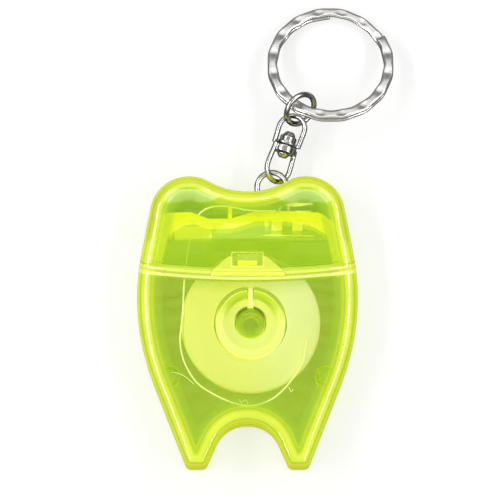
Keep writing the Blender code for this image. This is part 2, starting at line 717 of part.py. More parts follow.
# Cutter: a bent steel strip with a raised slit blade
def build_cutter(metal):
    foot = NECK_BUMP_Y + GAP
    sheet = CUTTER_SHEET
    left = CUTTER_LEFT
    right = left + CUTTER_WIDTH
    leg = left + CUTTER_LEG
    blade = foot + CUTTER_RISE
    profile = [
        (left, foot),
        (right, foot),
        (right, foot + sheet),
        (leg + sheet, foot + sheet),
        (leg + sheet, blade - sheet),
        (right + sheet, blade - sheet),
        (right + sheet, blade),
        (leg, blade),
        (leg, foot + sheet),
        (left + sheet, foot + sheet),
        (left + sheet + CUTTER_HOOK / 2, foot + CUTTER_HOOK + sheet),
        (left + CUTTER_HOOK / 2, foot + CUTTER_HOOK + sheet),
        (left, foot + sheet),
    ]
    low = HINGE_Z + GROOVE_RADIUS + GAP * 2
    cutter = add_object("cutter", prism_mesh("cutter", profile, low, low + CUTTER_DEPTH), metal)
    middle = leg + CUTTER_LEG
    slit = block_mesh("blade_slit", (middle, blade - sheet - FINE_GAP, low + CUTTER_DEPTH / 2),
                      (middle + CUTTER_SLIT, blade + OVERRUN, low + CUTTER_DEPTH + OVERRUN))
    cut(cutter, add_tool("blade_slit", slit))
    return cutter


# Spool, floss roll and the free end of the floss
def build_spool(plastic, floss):
    centre = (SPOOL_X, SPOOL_Y)
    hub = [
        (HUB_BORE, FACE_WALL + GAP),
        (HUB_RADIUS - HUB_RIM, FACE_WALL + GAP),
        (HUB_RADIUS, FACE_WALL + GAP + HUB_RIM),
        (HUB_RADIUS, HUB_FRONT - HUB_RIM / 2),
        (HUB_RADIUS - HUB_RIM / 2, HUB_FRONT),
        (HUB_STEP_RADIUS, HUB_FRONT),
        (HUB_STEP_RADIUS, HUB_FRONT - HUB_STEP_DROP),
        (HUB_BORE, HUB_FRONT - HUB_STEP_DROP),
    ]
    spool = add_object("spool", turned_mesh("spool", hub, centre, ROUND_SIDES * 2), plastic)
    slot = block_mesh("spool_slot", (SPOOL_X - HUB_SLOT_WIDTH / 2, SPOOL_Y, ROLL_REAR),
                      (SPOOL_X + HUB_SLOT_WIDTH / 2, SPOOL_Y + HUB_RADIUS + OVERRUN, HUB_FRONT + OVERRUN))
    cut(spool, add_tool("spool_slot", slot))
    inner = HUB_RADIUS + GAP
    ring = [
        (inner, ROLL_REAR),
        (ROLL_RADIUS - ROLL_ROUND, ROLL_REAR),
        (ROLL_RADIUS, ROLL_REAR + ROLL_ROUND),
        (ROLL_RADIUS, ROLL_FRONT - ROLL_ROUND),
        (ROLL_RADIUS - ROLL_ROUND, ROLL_FRONT),
        (inner, ROLL_FRONT),
    ]
    roll = add_object("floss_roll", turned_mesh("floss_roll", ring, centre, ROLL_SIDES), floss)
    for part in (spool, roll):
        set_origin(part, (SPOOL_X, SPOOL_Y, 0))


def smooth_path(points, count):
    """A smooth curve through the points, read at even steps of its length."""
    fine = []
    padded = [points[0] * 2 - points[1]] + points + [points[-1] * 2 - points[-2]]
    for before, start, end, after in zip(padded, padded[1:], padded[2:], padded[3:]):
        for k in range(FINE_STEPS):
            t = k / FINE_STEPS
            fine.append(0.5 * (2 * start + (end - before) * t + (2 * before - 5 * start + 4 * end - after) * t * t
                               + (3 * start - before - 3 * end + after) * t ** 3))
    fine.append(points[-1])
    lengths = [0.0]
    for a, b in zip(fine, fine[1:]):
        lengths.append(lengths[-1] + (b - a).length)
    path = []
    index = 0
    for k in range(count):
        target = lengths[-1] * k / (count - 1)
        while index < len(fine) - 2 and lengths[index + 1] < target:
            index += 1
        share = (target - lengths[index]) / (lengths[index + 1] - lengths[index])
        path.append(fine[index].lerp(fine[index + 1], share))
    return path


def build_lead(floss):
    route = [Vector((x, y, CASE_DEPTH * share)) for (x, y), share in zip(LEAD_ROUTE, LEAD_HEIGHT_shares)]
    path = smooth_path(route, LEAD_POINTS)
    return add_object("floss_lead", wire_mesh("floss_lead", path, LEAD_RADIUS, False, LEAD_SIDES), floss)


# Chain
def link_frame(turn, slope, roll):
    """A link's directions along and across: turned in the plan, sloped and rolled."""
    along = Vector((math.sin(turn) * math.cos(slope), math.cos(turn) * math.cos(slope), math.sin(slope)))
    side = along.cross(Vector((0, 0, 1))).normalized()
    up = side.cross(along)
    across = side * math.cos(roll) + up * math.sin(roll)
    return along, across


def ring_points(centre, radius, along, across):
    points = []
    for k in range(RING_STEPS):
        angle = 2 * math.pi * k / RING_STEPS
        points.append(centre + along * (radius * math.cos(angle)) + across * (radius * math.sin(angle)))
    return points


def loop_points(apex, along, across, radius, neck, length):
    """A pear-shaped wire loop: a half circle at the apex, drawn in to the neck at its open end."""
    half = []
    steps = RING_STEPS // 4
    for k in range(steps + 1):
        angle = math.pi / 2 * k / steps
        half.append((radius * (1 - math.cos(angle)), radius * math.sin(angle)))
    for k in range(1, steps + 1):
        share = k / steps
        ease = share * share * (3 - 2 * share)
        half.append((radius + (length - radius) * share, radius + (neck - radius) * ease))
    left = [apex + along * x - across * y for x, y in reversed(half)]
    right = [apex + along * x + across * y for x, y in half[1:]]
    return left + right


def swivel_places():
    """Start of the swivel and its directions, worked out from the lower ring that carries it."""
    lower = lower_ring_centre()
    along, across = link_frame(SWIVEL_TURN, -SWIVEL_SLOPE, LOWER_LOOP_ROLL)
    plan = Vector((math.sin(SWIVEL_TURN), math.cos(SWIVEL_TURN), 0))
    top = lower + plan * LOWER_RING_RADIUS
    start = top - plan * (SWIVEL_HOOKED + SWIVEL_WIRE / 2)
    return start, along, across


def lower_ring_centre():
    inner = outline_top(rounded(case_corners(VALLEY_THINNING), LID_WALL), BAR_X)
    centre_y = inner - LOWER_RING_SEAT - RING_WIRE / 2 + LOWER_RING_RADIUS
    return Vector((BAR_X + LOWER_RING_SHIFT, centre_y, CHAIN_Z))


def upper_ring_centre():
    start, along = swivel_places()[:2]
    plan = Vector((math.sin(UPPER_RING_TURN), math.cos(UPPER_RING_TURN), 0))
    tip = start + along * (SWIVEL_LENGTH - SWIVEL_WIRE / 2)
    return tip + plan * UPPER_RING_AHEAD + Vector((0, 0, UPPER_RING_LIFT))


def build_chain(metal, bright):
    along, across = link_frame(0, 0, LOWER_RING_ROLL)
    centre = lower_ring_centre()
    ring = ring_points(centre, LOWER_RING_RADIUS, along, across)
    part = add_object("lower_jump_ring", wire_mesh("lower_jump_ring", ring, RING_WIRE / 2, True), metal)
    set_origin(part, centre - Vector((0, LOWER_RING_RADIUS, 0)))

    build_swivel(metal)

    along, across = link_frame(UPPER_RING_TURN, UPPER_RING_SLOPE, UPPER_RING_ROLL)
    ring = ring_points(upper_ring_centre(), UPPER_RING_RADIUS, along, across)
    part = add_object("upper_jump_ring", wire_mesh("upper_jump_ring", ring, RING_WIRE / 2, True), metal)
    start, along = swivel_places()[:2]
    set_origin(part, start + along * (SWIVEL_LENGTH - SWIVEL_WIRE / 2))
    build_split_ring(bright)


def build_swivel(metal):
    start, along, across = swivel_places()
    apex = start + along * (SWIVEL_WIRE / 2)
    collar_end = COLLAR_START + COLLAR_LENGTH
    path = loop_points(apex, along, across, LOWER_LOOP_RADIUS, LOWER_LOOP_NECK, collar_end - SWIVEL_WIRE / 2)
    lower = add_object("swivel_lower_loop", wire_mesh("swivel_lower_loop", path, SWIVEL_WIRE / 2), metal)
    collar = rod_mesh("collar", start + along * COLLAR_START, start + along * collar_end, COLLAR_RADIUS)
    join(lower, add_tool("collar", collar))
    bore = rod_mesh("collar_bore", start + along * (COLLAR_START - GAP),
                    start + along * (collar_end + GAP / 2), RIVET_RADIUS + FINE_GAP)
    cut(lower, add_tool("collar_bore", bore))
    ring_top = lower_ring_centre() + Vector((math.sin(SWIVEL_TURN), math.cos(SWIVEL_TURN), 0)) * LOWER_RING_RADIUS
    set_origin(lower, ring_top)

    base_start = collar_end + GAP
    base_end = base_start + BASE_LENGTH
    boss_end = base_end + BASE_BOSS_LENGTH
    tip = start + along * (SWIVEL_LENGTH - SWIVEL_WIRE / 2)
    upper_across = link_frame(SWIVEL_TURN, -SWIVEL_SLOPE, UPPER_LOOP_ROLL)[1]
    length = SWIVEL_LENGTH - SWIVEL_WIRE / 2 - base_start
    path = loop_points(tip, -along, upper_across, UPPER_LOOP_RADIUS, UPPER_LOOP_NECK, length)
    upper = add_object("swivel_upper_loop", wire_mesh("swivel_upper_loop", path, SWIVEL_WIRE / 2), metal)
    base = rod_mesh("base", start + along * base_start, start + along * base_end, BASE_RADIUS)
    boss = rod_mesh("base_boss", start + along * (base_start + TINY), start + along * boss_end, BASE_BOSS_RADIUS)
    join(upper, add_tool("base", base), add_tool("base_boss", boss))
    bore = rod_mesh("base_bore", start + along * (base_start - GAP / 2),
                    start + along * (boss_end + GAP), RIVET_RADIUS + FINE_GAP)
    cut(upper, add_tool("base_bore", bore))

    head_low = COLLAR_START - FINE_GAP
    head_high = boss_end + FINE_GAP
    rivet = add_object("swivel_rivet", rod_mesh(
        "swivel_rivet", start + along * (head_low - TINY), start + along * (head_high + TINY), RIVET_RADIUS), metal)
    lower_head = rod_mesh("rivet_foot", start + along * (head_low - RIVET_HEAD_RISE),
                          start + along * head_low, RIVET_HEAD * RIVET_HEAD_TIP_share, RIVET_HEAD)
    upper_head = rod_mesh("rivet_head", start + along * head_high,
                          start + along * (head_high + RIVET_HEAD_RISE), RIVET_HEAD,
                          RIVET_HEAD * RIVET_HEAD_TIP_share)
    join(rivet, add_tool("rivet_foot", lower_head), add_tool("rivet_head", upper_head))
    for part in (upper, rivet):
        set_origin(part, start + along * collar_end)


def build_split_ring(metal):
    """Two flat turns of dented strip: a lower turn, a short ramp and an upper turn."""
    middle = (SPLIT_OUTER + SPLIT_INNER) / 2
    half_band = (SPLIT_OUTER - SPLIT_INNER) / 2
    stack = (SPLIT_PITCH + SPLIT_COIL) / 2
    height = SPLIT_OUTER * math.sin(SPLIT_TILT) + stack * math.cos(SPLIT_TILT)
    place = Matrix.Translation((SPLIT_X, SPLIT_Y, height)) @ Matrix.Rotation(-SPLIT_TILT, 4, "X")
    sweep = 4 * math.pi - 2 * SPLIT_RAMP
    bm = bmesh.new()
    rows = []
    for k in range(SPLIT_STEPS + 1):
        walked = sweep * k / SPLIT_STEPS
        angle = SPLIT_RAMP_AT + SPLIT_RAMP + walked
        share = (walked - (2 * math.pi - 2 * SPLIT_RAMP)) / (2 * SPLIT_RAMP)
        share = min(max(share, 0), 1)
        level = SPLIT_PITCH * (share * share * (3 - 2 * share) - 0.5)
        dent = 1 - SPLIT_DENT_share * (1 + math.cos(SPLIT_DENTS * angle)) / 2
        row = []
        flat = SPLIT_FLAT_share
        for out, up in ((-1, 0), (-flat, -1), (flat, -1), (1, 0), (flat, 1), (-flat, 1)):
            reach = middle + out * half_band * dent
            lift = level + up * SPLIT_COIL / 2
            row.append(bm.verts.new((reach * math.cos(angle), reach * math.sin(angle), lift)))
        rows.append(row)
    for a, b in zip(rows, rows[1:]):
        for i in range(len(a)):
            j = (i + 1) % len(a)
            bm.faces.new((a[i], a[j], b[j], b[i]))
    bm.faces.new(rows[0])
    bm.faces.new(rows[-1])
    bmesh.ops.triangulate(bm, faces=bm.faces)
    bmesh.ops.transform(bm, matrix=place, verts=bm.verts)
    ring = add_object("split_ring", finish_mesh(bm, "split_ring"), metal)
    hung_at = Vector((math.cos(SPLIT_HUNG_AT), math.sin(SPLIT_HUNG_AT), 0)) * middle
    set_origin(ring, place @ hung_at)


def main():
    for item in list(bpy.data.objects):
        bpy.data.objects.remove(item, do_unlink=True)
    lime = make_material("lime_plastic", (0.62, 0.85, 0.08), 0.08, 0.0, 0.85)
    frosted = make_material("frosted_plastic", (0.78, 0.92, 0.30), 0.30, 0.0, 0.6)
    floss = make_material("floss", (0.90, 0.94, 0.55), 0.6, 0.0, 0.0)
    steel = make_material("steel", (0.72, 0.72, 0.70), 0.25, 1.0, 0.0)
    nickel = make_material("nickel", (0.78, 0.78, 0.76), 0.15, 1.0, 0.0)
    groove = build_shells(lime)
    build_lid(lime, groove)
    build_neck(frosted)
    build_cutter(steel)
    build_spool(frosted, floss)
    build_lead(floss)
    build_chain(nickel, nickel)


main()
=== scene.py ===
import math

import bmesh
import bpy
from mathutils import Matrix, Vector
from mathutils.kdtree import KDTree


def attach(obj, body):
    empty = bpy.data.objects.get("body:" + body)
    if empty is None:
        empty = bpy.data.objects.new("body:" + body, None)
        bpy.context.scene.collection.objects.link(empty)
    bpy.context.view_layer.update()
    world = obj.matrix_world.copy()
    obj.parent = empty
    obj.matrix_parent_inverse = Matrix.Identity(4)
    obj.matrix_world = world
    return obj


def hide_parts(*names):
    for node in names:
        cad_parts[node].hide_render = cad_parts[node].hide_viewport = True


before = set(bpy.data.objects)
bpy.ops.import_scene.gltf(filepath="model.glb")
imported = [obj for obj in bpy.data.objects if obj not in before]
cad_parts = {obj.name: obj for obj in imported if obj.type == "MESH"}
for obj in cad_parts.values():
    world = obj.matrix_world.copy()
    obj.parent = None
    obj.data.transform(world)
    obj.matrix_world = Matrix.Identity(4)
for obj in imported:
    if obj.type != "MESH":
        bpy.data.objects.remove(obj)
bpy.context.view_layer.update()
mm = 0.001
inMm = (1 / mm,) * 3


# ---- shader maths: a wrapped socket, so that masks read as expressions
class Wire:
    def __init__(self, maker, socket):
        self.maker = maker
        self.socket = socket

    def maths(self, operation, first, second):
        return self.maker.add("ShaderNodeMath", {"operation": operation}, {0: first, 1: second})

    def __add__(self, other):
        return self.maths("ADD", self, other)

    def __radd__(self, other):
        return self.maths("ADD", other, self)

    def __sub__(self, other):
        return self.maths("SUBTRACT", self, other)

    def __rsub__(self, other):
        return self.maths("SUBTRACT", other, self)

    def __mul__(self, other):
        return self.maths("MULTIPLY", self, other)

    def __rmul__(self, other):
        return self.maths("MULTIPLY", other, self)

    def __truediv__(self, other):
        return self.maths("DIVIDE", self, other)

    def __pow__(self, other):
        return self.maths("POWER", self, other)

    def __abs__(self):
        return self.maths("ABSOLUTE", self, 0)


class Nodes:
    def __init__(self, tree):
        self.tree = tree

    def add(self, nodeType, settings=None, values=None, out=0):
        node = self.tree.nodes.new(nodeType)
        for key, value in (settings or {}).items():
            if key == "stops":
                setStops(node.color_ramp, value)
            else:
                setattr(node, key, value)
        for key, value in (values or {}).items():
            self.feed(node.inputs[key], value)
        return Wire(self, node.outputs[out])

    def feed(self, socket, value):
        if isinstance(value, Wire):
            self.tree.links.new(value.socket, socket)
        elif socket.type == "RGBA" and len(value) == 3:
            socket.default_value = (*value, 1)
        else:
            socket.default_value = value

    def coords(self, scale):
        place = self.add("ShaderNodeTexCoord", out="Object")
        return self.add("ShaderNodeMapping", None, {"Vector": place, "Scale": scale})

    def split(self, vector):
        return [self.add("ShaderNodeSeparateXYZ", None, {0: vector}, axis) for axis in range(3)]

    # 1 on tops and undersides, 0 on upright walls
    def level(self):
        return abs(self.split(self.add("ShaderNodeTexCoord", out="Normal"))[2])

    def attribute(self, name):
        return self.add("ShaderNodeAttribute", {"attribute_name": name}, out="Fac")

    def noise(self, size, detail=2, roughness=0.5, stretch=(1, 1, 1)):
        place = self.coords(tuple(share / size for share in stretch))
        values = {"Vector": place, "Scale": 1, "Detail": detail, "Roughness": roughness}
        return self.add("ShaderNodeTexNoise", None, values, "Fac")

    def blend(self, share, first, second):
        return self.add("ShaderNodeMix", {"data_type": "RGBA"}, {0: share, 6: first, 7: second}, 2)

    def step(self, value, low, high):
        values = {"Value": value, "From Min": low, "From Max": high}
        return self.add("ShaderNodeMapRange", {"interpolation_type": "SMOOTHSTEP"}, values)

    def band(self, value, low, high, soft):
        return self.step(value, low, low + soft) * (1 - self.step(value, high - soft, high))

    def patch(self, x, y, box, soft):
        left, near, right, far = box
        return self.band(x, left, right, soft) * self.band(y, near, far, soft)

    def ramp(self, value, stops):
        return self.add("ShaderNodeValToRGB", {"stops": stops}, {"Fac": value})

    def bump(self, height, distance):
        values = {"Height": height, "Distance": distance, "Strength": 1}
        return self.add("ShaderNodeBump", None, values)


class Finish(Nodes):
    def __init__(self, name):
        self.material = bpy.data.materials.new(name)
        self.material.use_nodes = True
        super().__init__(self.material.node_tree)
        self.tree.nodes.clear()

    def done(self, shader):
        out = self.tree.nodes.new("ShaderNodeOutputMaterial")
        self.tree.links.new(shader.socket, out.inputs["Surface"])
        return self.material


def setStops(ramp, stops):
    while len(ramp.elements) < len(stops):
        ramp.elements.new(1)
    for element, (place, colour) in zip(ramp.elements, stops):
        element.position = place
        element.color = (*colour, 1)


def grey(value):
    return (value, value, value)


# ---- the tooth outline, repeated from the part's driving sizes
outlineStep = 0.15 * mm
weldGap = 0.002 * mm
tooth = {
    "halfWidth": 21.75 * mm,
    "top": 29.05 * mm,
    "foot": 29.1 * mm,
    "depth": 13.0 * mm,
    "faceRadius": 81.0 * mm,
    "crownStart": 20.0 * mm,
    "crownDrop": 1.8 * mm,
    "tabProud": 0.04 * mm,
    "arcSteps": 24,
    # across and up as shares of the half width and of the height, then the fillet
    "corners": [
        (0.2037, -0.7010, 6.6 * mm),
        (0.3816, -1.0, 1.2 * mm),
        (0.5572, -1.0, 1.2 * mm),
        (1.0897, 0.01, 46.0 * mm),
        (0.7908, 1.1611, 7.65 * mm),
    ],
    "valley": (0.7952, 14.8 * mm),
}


def spread(here, there, closed=False):
    steps = max(1, math.ceil((there - here).length / outlineStep))
    return [here.lerp(there, k / steps) for k in range(steps + closed)]


def outlinePoints():
    right = []
    for across, up, fillet in tooth["corners"]:
        height = tooth["top"] if up > 0 else tooth["foot"]
        right.append((across * tooth["halfWidth"], up * height, fillet))
    valley = (0, tooth["valley"][0] * tooth["top"], tooth["valley"][1])
    corners = right + [valley] + [(-x, y, fillet) for x, y, fillet in reversed(right)]
    spots = [Vector((x, y)) for x, y, fillet in corners]
    count = len(corners)
    turns = []
    for i in range(count):
        into = (spots[i] - spots[i - 1]).normalized()
        out = (spots[(i + 1) % count] - spots[i]).normalized()
        turns.append((into, out, -into.angle_signed(out)))
    reach = [corners[i][2] * math.tan(abs(turns[i][2]) / 2) for i in range(count)]
    # neighbouring fillets share a side that is too short for both
    fits = []
    for i in range(count):
        after = (i + 1) % count
        fits.append(min(1, (spots[after] - spots[i]).length / (reach[i] + reach[after])))
    bends = []
    for i, (into, out, turn) in enumerate(turns):
        share = min(fits[i], fits[i - 1])
        start = spots[i] - into * (reach[i] * share)
        side = math.copysign(1, turn)
        centre = start + Vector((-into.y, into.x)) * (side * corners[i][2] * share)
        for k in range(tooth["arcSteps"] + 1):
            arm = start - centre
            arm.rotate(Matrix.Rotation(turn * k / tooth["arcSteps"], 2))
            bends.append(centre + arm)
    sides = zip(bends, bends[1:] + bends[:1])
    return [point for here, there in sides for point in spread(here, there)]


def faceHeight(x, y):
    past = max(0, y - tooth["crownStart"]) / (tooth["top"] - tooth["crownStart"])
    return tooth["depth"] - x * x / (2 * tooth["faceRadius"]) - tooth["crownDrop"] * past * past


def flatTree(points):
    tree = KDTree(len(points))
    for index, point in enumerate(points):
        tree.insert((point.x, point.y, 0), index)
    tree.balance()
    return tree


outline = outlinePoints()
outlineTree = flatTree(outline)
print("outline ready:", len(outline), "points")


def sectionTree(node, height):
    bm = mergedMesh(node)
    geometry = bm.verts[:] + bm.edges[:] + bm.faces[:]
    result = bmesh.ops.bisect_plane(bm, geom=geometry, plane_co=(0, 0, height), plane_no=(0, 0, 1))
    spots = []
    for edge in result["geom_cut"]:
        if isinstance(edge, bmesh.types.BMEdge):
            spots += spread(edge.verts[0].co, edge.verts[1].co, closed=True)
    bm.free()
    return flatTree(spots)


def mergedMesh(node):
    bm = bmesh.new()
    bm.from_mesh(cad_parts[node].data)
    bmesh.ops.remove_doubles(bm, verts=bm.verts, dist=weldGap)
    bmesh.ops.dissolve_degenerate(bm, edges=bm.edges, dist=weldGap)
    bmesh.ops.recalc_face_normals(bm, faces=bm.faces)
    return bm


# ---- a smooth, finely divided copy of a CAD node that stands for it
splitRounds = 8


def dressedCopy(node, body, slotName, material, longest=0.0, smoothAngle=38,
                tree=None, shape=None, rounding=0):
    bm = mergedMesh(node)
    for turn in range(splitRounds if longest else 0):
        long = [edge for edge in bm.edges if edge.calc_length() > longest]
        if not long:
            break
        bmesh.ops.subdivide_edges(bm, edges=long, cuts=1)
        bmesh.ops.triangulate(bm, faces=[face for face in bm.faces if len(face.verts) > 3])
    for turn in range(rounding):
        bmesh.ops.smooth_vert(bm, verts=bm.verts, factor=0.5,
                              use_axis_x=True, use_axis_y=True, use_axis_z=True)
    if shape:
        bm.normal_update()
        shape(bm)
    if tree:
        # how far in from the outline each vertex lies, in mm, and whether it is on the raised tab
        rim = bm.verts.layers.float.new("rim")
        tab = bm.verts.layers.float.new("tab")
        for vert in bm.verts:
            x, y, z = vert.co
            vert[rim] = tree.find((x, y, 0))[2] / mm
            vert[tab] = 1.0 if z > faceHeight(x, y) + tooth["tabProud"] else 0.0
    return placePiece(bm, node + "Looks", body, material, [node], smoothAngle)


def placePiece(bm, name, body, material, stands=(), smoothAngle=38):
    mesh = bpy.data.meshes.new(name)
    bm.to_mesh(mesh)
    bm.free()
    mesh.shade_smooth()
    mesh.set_sharp_from_angle(angle=math.radians(smoothAngle))
    piece = bpy.data.objects.new(name, mesh)
    bpy.context.scene.collection.objects.link(piece)
    mesh.materials.append(material)
    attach(piece, body)
    if stands:
        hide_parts(*stands)
    return piece


# ---- clear neon plastic: saturated along the rims in bands of painted glow and dark lines of painted shade, clear green on the flat faces
parting = {"y": 15.6, "z": 0.9, "slope": math.radians(30)}
# shared by every lime part; a length without a unit is in mm, and a pair is where a fade starts and ends
moulding = {
    "rimReach": 8,
    "waverSize": 1.6 * mm,
    "waverDepth": 0.06,
    "waverFade": (0.3, 0.5),
    "cloudSize": 10 * mm,
    "cloudFade": (0.35, 0.7),
    "wallStart": 0.12,
    "lipSoft": 0.12,
    "padSoft": 0.25,
    "padFade": 0.5,
    "padBody": 0.5,
    "frameWidth": 0.3,
    "frameSoft": 0.1,
    "frameFade": (9, 9.5),
    "frameBody": 0.6,
    "rearFade": (1.2, 2.2),
    "rearTone": 0.8,
    "calmSoft": 0.5,
    "calmShare": 0.6,
    "tabFade": (0.2, 0.8),
    "tabBody": 0.6,
    "mostBody": 0.94,
    "grazingPower": 3,
    "grazingBody": 0.8,
    "rippleSize": 4 * mm,
    "rippleHeight": 0.012 * mm,
    "roughness": 0.07,
    "smearSize": 2.5 * mm,
    "smear": 0.05,
    "coatFade": (0.02, 0.3),
}


def limePlastic(name, look):
    finish = Finish(name)
    facing = finish.level()
    x, y, z = finish.split(finish.coords(inMm))
    # the inner bands of painted light waver a little, as light does in a moulded wall
    rim = finish.attribute("rim") / moulding["rimReach"]
    waver = (finish.noise(moulding["waverSize"]) - 0.5) * finish.step(rim, *moulding["waverFade"])
    rim = rim + waver * moulding["waverDepth"]
    # painted light: bright glow bands and dark lines by distance from the outline, with the share of
    # solid plastic set from the same distance
    body = finish.ramp(rim, look["paintedRimBands"])
    share = finish.ramp(rim, [(place, grey(value)) for place, value in look["strength"]])

    # slow drifts of tone, as in a thick moulding
    cloud = finish.step(finish.noise(moulding["cloudSize"]), *moulding["cloudFade"])
    body = finish.blend(cloud * look["drift"], body, look["deep"])
    # painted glow: upright walls are painted towards the bright edge colour and made more solid, as
    # walls seen edge-on light up
    wall = 1 - finish.step(facing, moulding["wallStart"], look["wallEnd"])
    body = finish.blend(wall * look["paintedWallGlow"], body, look["edge"])
    share = share + wall * look["wallBody"]

    # the cut edge beside the parting, painted as bright bands of painted glow, with a darker line a
    # little above them on the lid
    slope = parting["slope"]
    away = (y - parting["y"]) * math.cos(slope) + (z - parting["z"]) * math.sin(slope)
    for low, high, colour, strength in look.get("lips", []):
        lip = finish.band(away, low, high, moulding["lipSoft"])
        body = finish.blend(lip, body, colour)
        share = share + lip * strength
    # moulded pads and ribs behind the face, painted on it as brighter patches of painted glow
    for left, near, right, far, strength, top in look.get("pads", []):
        pad = finish.patch(x, y, (left, near, right, far), moulding["padSoft"])
        pad = pad * (1 - finish.step(z, top, top + moulding["padFade"]))
        body = finish.blend(pad * strength, body, look["edge"])
        share = share + pad * strength * moulding["padBody"]
    # the frame round the latch window, painted as a bright line of painted glow in the tab colour
    if look.get("window"):
        left, near, right, far = look["window"]
        width = moulding["frameWidth"]
        outer = (left - width, near - width, right + width, far + width)
        frameLine = finish.patch(x, y, outer, moulding["frameSoft"])
        frameLine = frameLine * finish.step(z, *moulding["frameFade"])
        body = finish.blend(frameLine, body, look["tab"])
        share = share + frameLine * moulding["frameBody"]
    # the lid's own back shows through its front
    if look.get("rearBody"):
        rear = 1 - finish.step(z, *moulding["rearFade"])
        body = finish.blend(rear * moulding["rearTone"], body, look["deep"])
        share = share + rear * look["rearBody"]
    # the hinge behind the neck is left faint
    if look.get("calm"):
        calm = finish.patch(x, y, look["calm"], moulding["calmSoft"])
        share = share * (1 - calm * moulding["calmShare"])
    if look.get("tab"):
        tab = finish.step(finish.attribute("tab"), *moulding["tabFade"])
        body = finish.blend(tab, body, look["tab"])
        share = share + tab * moulding["tabBody"]

    share = finish.add("ShaderNodeClamp", None, {0: share, 2: moulding["mostBody"]})
    grazing = finish.add("ShaderNodeLayerWeight", None, {"Blend": 0.5}, "Facing")
    grazing = grazing ** moulding["grazingPower"] * moulding["grazingBody"]
    share = share + (1 - share) * grazing
    # the gloss is all in the coat, which leaves upright walls out: they would mirror the floor
    skin = finish.add("ShaderNodeBsdfPrincipled", None, {
        "Base Color": body,
        # painted glow: the plastic emits its own colour, though it is no lamp
        "Emission Color": body,
        "Emission Strength": look["paintedGlow"],
        "Roughness": moulding["roughness"] + finish.noise(moulding["smearSize"], 3) * moulding["smear"],
        "Specular IOR Level": 0.0,
        "Coat Weight": look["coat"] * finish.step(facing, *moulding["coatFade"]),
        "Coat Roughness": 0.03,
        "Coat IOR": 1.9,
        "Normal": finish.bump(finish.noise(moulding["rippleSize"], 1), moulding["rippleHeight"])})
    clear = finish.add("ShaderNodeBsdfTransparent", None, {"Color": look["tint"]})
    mixed = finish.add("ShaderNodeMixShader", None, {0: share, 1: clear, 2: skin})
    return finish.done(mixed)


hingeArea = (-9.0, 12.8, 9.0, 17.6)
lime = {
    # edge: the colour of the painted glow on upright walls and pads
    "edge": (0.88, 0.94, 0.04),
    "deep": (0.33, 0.52, 0.02),
    "tint": (0.96, 0.98, 0.76),
    "paintedGlow": 0.20,
    "coat": 1.0,
    "drift": 0.2,
    "paintedWallGlow": 0.75,
    "wallBody": 0.30,
    "wallEnd": 0.9,
    # stops are distances in from the outline, as shares of rimReach; the colours are painted light,
    # bright glow where walls are seen edge-on with thin dark lines of painted shade between
    "paintedRimBands": [
        (0.0, (0.86, 0.96, 0.06)), (0.05, (0.76, 0.90, 0.04)), (0.08, (0.56, 0.72, 0.01)),
        (0.13, (0.82, 0.94, 0.06)), (0.23, (0.90, 0.98, 0.10)), (0.29, (0.78, 0.92, 0.03)),
        (0.325, (0.50, 0.68, 0.01)), (0.375, (0.66, 0.84, 0.03)), (0.45, (0.42, 0.64, 0.02)),
        (0.58, (0.38, 0.60, 0.02)), (0.66, (0.32, 0.53, 0.02)), (1.0, (0.32, 0.53, 0.02))],
    "strength": [
        (0.0, 0.8), (0.075, 0.75), (0.23, 0.7), (0.325, 0.6), (0.375, 0.5),
        (0.45, 0.34), (0.58, 0.26), (0.66, 0.07), (1.0, 0.05)],
}
limeFront = limePlastic("limeFront", {**lime, "lips": [(-0.8, -0.1, (0.96, 1.0, 0.24), 0.75)]})
limeLid = limePlastic("limeLid", {
    **lime,
    "tab": (0.92, 0.99, 0.10),
    "rearBody": 0.75,
    "calm": hingeArea,
    "window": (-3.0, 10.6, 3.0, 13.3),
    "lips": [(0.1, 0.8, (0.94, 1.0, 0.16), 0.7), (0.9, 1.25, (0.42, 0.60, 0.01), 0.5)]})
limeRear = limePlastic("limeRear", {
    **lime,
    "tint": (0.90, 0.97, 0.27),
    "drift": 0.45,
    "coat": 0.35,
    "calm": hingeArea,
    # left, near, right, far, strength, top
    "pads": [(-18.4, -13.0, -15.8, -8.6, 0.5, 7), (13.6, -13.0, 16.4, -8.6, 0.5, 7)],
    "strength": [
        (0.0, 0.8), (0.23, 0.75), (0.325, 0.65), (0.375, 0.6), (0.45, 0.5),
        (0.58, 0.55), (0.66, 0.50), (1.0, 0.48)]})
limeNeck = limePlastic("limeNeck", {
    **lime,
    "drift": 0.1,
    "paintedWallGlow": 0.95,
    "wallEnd": 0.7,
    "paintedGlow": 0.32,
    "edge": (0.95, 0.93, 0.07),
    # painted glow: a bright band along the neck's rim, over its flat green
    "paintedRimBands": [
        (0.0, (0.96, 0.94, 0.07)), (0.13, (0.95, 0.93, 0.07)),
        (0.165, (0.47, 0.65, 0.06)), (1.0, (0.45, 0.63, 0.06))],
    "strength": [(0.0, 0.85), (0.13, 0.8), (0.165, 0.45), (1.0, 0.45)],
    # brighter patches of painted glow over the ribs and guide block behind the neck's face
    "pads": [
        (-14.6, 16.3, -7.0, 19.0, 0.55, 14), (2.9, 16.7, 13.4, 17.2, 0.6, 14),
        (4.7, 17.8, 7.0, 20.2, 0.8, 14), (8.8, 17.8, 11.1, 20.2, 0.8, 14),
        (3.3, 18.6, 4.3, 20.2, 0.6, 14), (12.3, 18.6, 13.3, 20.2, 0.6, 14),
        (-4.2, 20.2, -2.8, 24.0, 1.0, 6), (-2.1, 10.4, 2.1, 11.9, 0.9, 14)]})


